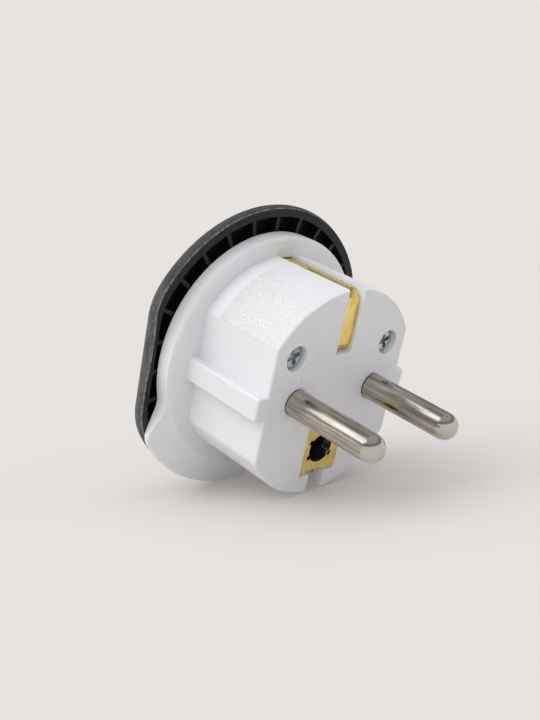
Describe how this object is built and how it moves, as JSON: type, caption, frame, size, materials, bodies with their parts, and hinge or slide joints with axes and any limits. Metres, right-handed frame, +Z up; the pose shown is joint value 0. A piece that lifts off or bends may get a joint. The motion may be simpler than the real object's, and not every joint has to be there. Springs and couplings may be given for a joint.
{
  "type": "plug adapter",
  "caption": "Two-pin plug adapter with a round white plug body, brass earth straps, a lobed flange and a black ribbed front cover with a socket face.",
  "frame": {"origin": "bottom centre of the adapter's box as it rests on a table, on its flange lobe and the lower edge of its plug face", "axes": "+X along the two pins' common plane, from the left pin to the right pin seen from the pin side; -Y the way the pins point, tipped down by the resting tilt; +Z up"},
  "size_m": [0.0492, 0.0518, 0.0508],
  "materials": {
    "white_plastic": "satin",
    "black_plastic": "satin",
    "nickel": "polished",
    "brass": "satin",
    "zinc_steel": "satin"
  },
  "bodies": {
    "root": {"rear_shell": "white_plastic", "front_cover": "black_plastic", "pin_live": "nickel", "pin_neutral": "nickel", "contact_live": "brass", "contact_neutral": "brass", "earth_strap_top": "brass", "earth_strap_bottom": "brass", "earth_bridge": "brass", "earth_rivet_top": "brass", "earth_rivet_bottom": "brass", "cover_screw_left": "zinc_steel", "cover_screw_right": "zinc_steel"}
  },
  "joints": []
}
